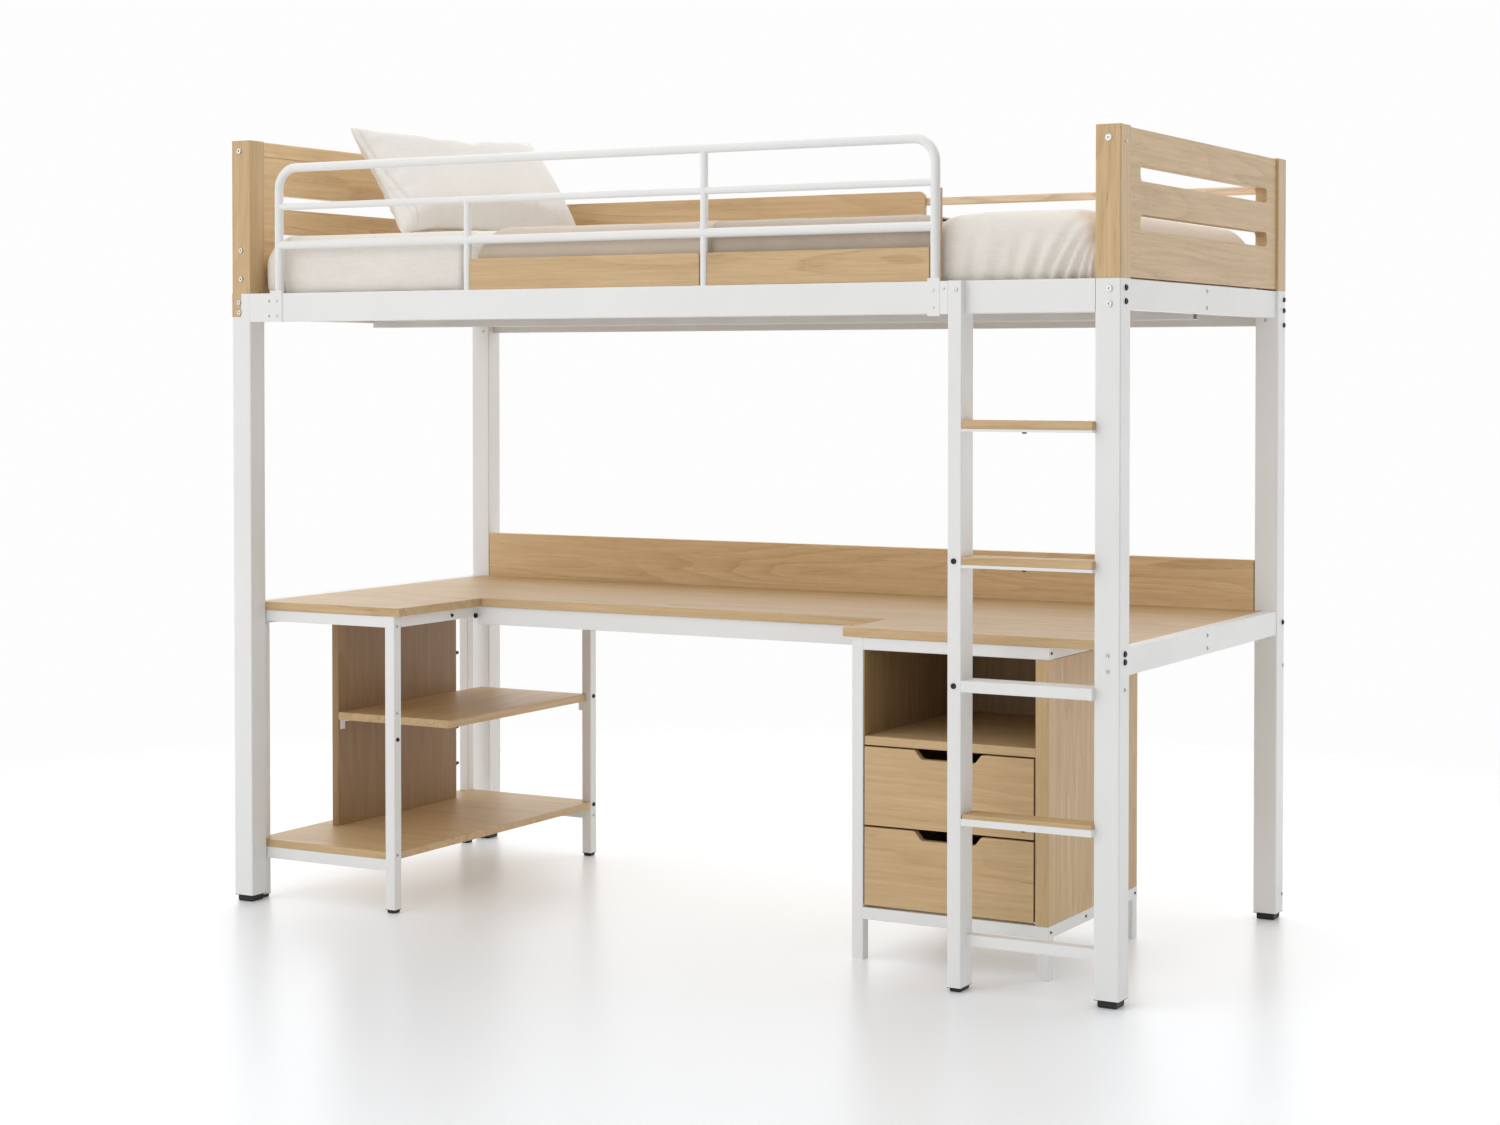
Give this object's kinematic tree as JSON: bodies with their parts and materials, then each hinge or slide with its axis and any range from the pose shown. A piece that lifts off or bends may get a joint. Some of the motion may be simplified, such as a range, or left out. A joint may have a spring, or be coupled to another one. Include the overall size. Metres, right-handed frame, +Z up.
{
  "type": "loft bed with desk",
  "caption": "Steel loft bed with wooden guard, desk, shelf unit, drawer pedestal and ladder under a mattress, pillow and covers.",
  "frame": {"origin": "on the floor under the middle of the whole object's bounding box", "axes": "+X along the bed towards the ladder end, +Y towards the back (wall side), +Z up"},
  "size_m": [2.086, 0.984, 1.726],
  "materials": {
    "white_steel": "white powder coat, satin with a fine texture",
    "wood_laminate": "light oak laminate, matt, with a fine straight grain",
    "slat_wood": "plain sanded softwood",
    "drawer_board": "plain light board",
    "black_plastic": "black moulded plastic, fine grain",
    "bolt_steel": "zinc-plated bolt heads",
    "black_screws": "black oxide screw heads",
    "runner_steel": "zinc-plated pressed steel",
    "mattress_cloth": "cream woven cotton cover",
    "pillow_cloth": "cream woven cotton pillowcase",
    "blanket_cloth": "beige brushed cotton",
    "throw_cloth": "grey-beige brushed cotton"
  },
  "bodies": {
    "frame": {"steel_post_front_left": "white_steel", "steel_post_front_right": "white_steel", "steel_post_rear_left": "white_steel", "steel_post_rear_right": "white_steel", "frame_feet": "black_plastic", "front_side_rail": "white_steel", "rear_side_rail": "white_steel", "bed_end_beams": "white_steel", "slat_support_beam": "white_steel", "bed_slats": "slat_wood", "wood_post_front_left": "wood_laminate", "wood_post_front_right": "wood_laminate", "wood_post_rear_left": "wood_laminate", "wood_post_rear_right": "wood_laminate", "headboard_panel": "wood_laminate", "headboard_cap_rail": "wood_laminate", "footboard_panel": "wood_laminate", "front_guard_rail": "white_steel", "guard_boards": "wood_laminate", "back_guard_rail": "wood_laminate", "back_board": "wood_laminate", "desk_end_beams": "white_steel", "desk_cross_beams": "white_steel", "desk_board_left": "wood_laminate", "desk_board_middle": "wood_laminate", "desk_board_right": "wood_laminate", "desk_backsplash": "wood_laminate", "shelf_unit_front_frame": "white_steel", "shelf_unit_rear_frame": "white_steel", "shelf_unit_rails": "white_steel", "shelf_side_panel": "wood_laminate", "shelf_middle_board": "wood_laminate", "shelf_bottom_boards": "wood_laminate", "shelf_brackets": "white_steel", "unit_feet": "black_plastic", "pedestal_left_frame": "white_steel", "pedestal_top_frame": "white_steel", "pedestal_base_frame": "white_steel", "pedestal_left_panel": "wood_laminate", "pedestal_right_panel": "wood_laminate", "pedestal_back_panel": "wood_laminate", "cubby_floor": "wood_laminate", "runner_cabinet_members": "runner_steel", "ladder_stile": "white_steel", "ladder_rungs": "white_steel", "ladder_treads": "wood_laminate", "mattress": "mattress_cloth", "pillow": "pillow_cloth", "blanket": "blanket_cloth", "throw": "throw_cloth", "frame_bolts": "bolt_steel", "unit_screws": "black_screws"},
    "upper_drawer": {"upper_drawer_front": "wood_laminate", "upper_drawer_box": "drawer_board", "upper_runner_inners": "runner_steel"},
    "lower_drawer": {"lower_drawer_front": "wood_laminate", "lower_drawer_box": "drawer_board", "lower_runner_inners": "runner_steel"},
    "upper_runner_middle": {"upper_runner_middles": "runner_steel"},
    "lower_runner_middle": {"lower_runner_middles": "runner_steel"}
  },
  "joints": [
    {"name": "upper_drawer_slide", "type": "slide", "parent": "frame", "child": "upper_drawer", "axis": [0, -1, 0], "range_m": [0, 0.105]},
    {"name": "upper_runner_slide", "type": "slide", "parent": "frame", "child": "upper_runner_middle", "axis": [0, -1, 0], "range_m": [0, 0.0525]},
    {"name": "lower_drawer_slide", "type": "slide", "parent": "frame", "child": "lower_drawer", "axis": [0, -1, 0], "range_m": [0, 0.105]},
    {"name": "lower_runner_slide", "type": "slide", "parent": "frame", "child": "lower_runner_middle", "axis": [0, -1, 0], "range_m": [0, 0.0525]}
  ],
  "couplings": [
    {"joint": "upper_runner_slide", "follows": "upper_drawer_slide", "ratio": 0.5},
    {"joint": "lower_runner_slide", "follows": "lower_drawer_slide", "ratio": 0.5}
  ]
}
